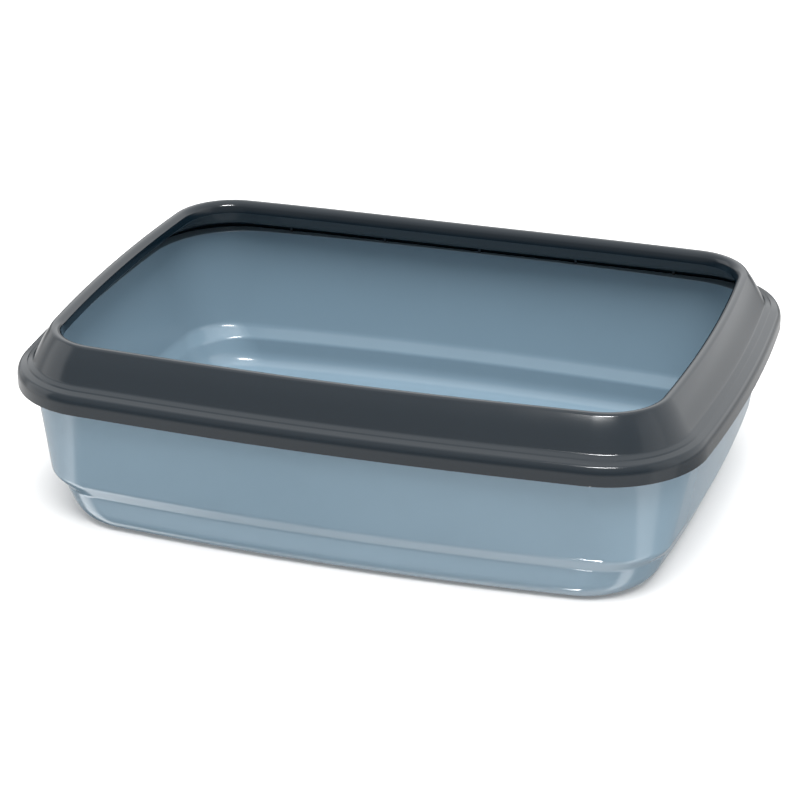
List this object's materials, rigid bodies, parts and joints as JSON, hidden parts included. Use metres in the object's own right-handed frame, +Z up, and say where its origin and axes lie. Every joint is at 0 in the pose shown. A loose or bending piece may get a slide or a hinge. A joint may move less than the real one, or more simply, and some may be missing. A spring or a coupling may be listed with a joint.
{
  "type": "open litter tray with rim",
  "caption": "Open rectangular cat litter tray: a stepped plastic basin with rounded corners and a clip-on rim that leans inwards.",
  "frame": {"origin": "middle of the flat base, on the surface that the tray stands on", "axes": "+X along the tray's length, +Y along its width, +Z up out of the open mouth"},
  "size_m": [0.4998, 0.355, 0.14],
  "materials": {
    "basin_plastic": "smooth blue-grey polypropylene with a soft gloss",
    "rim_plastic": "smooth anthracite polypropylene with a soft gloss"
  },
  "bodies": {
    "basin": {"basin": "basin_plastic"},
    "rim": {"rim": "rim_plastic"}
  },
  "joints": [
    {"name": "rim_lift", "type": "slide", "parent": "basin", "child": "rim", "axis": [0, 0, 1], "range_m": [0, 0.06]}
  ]
}
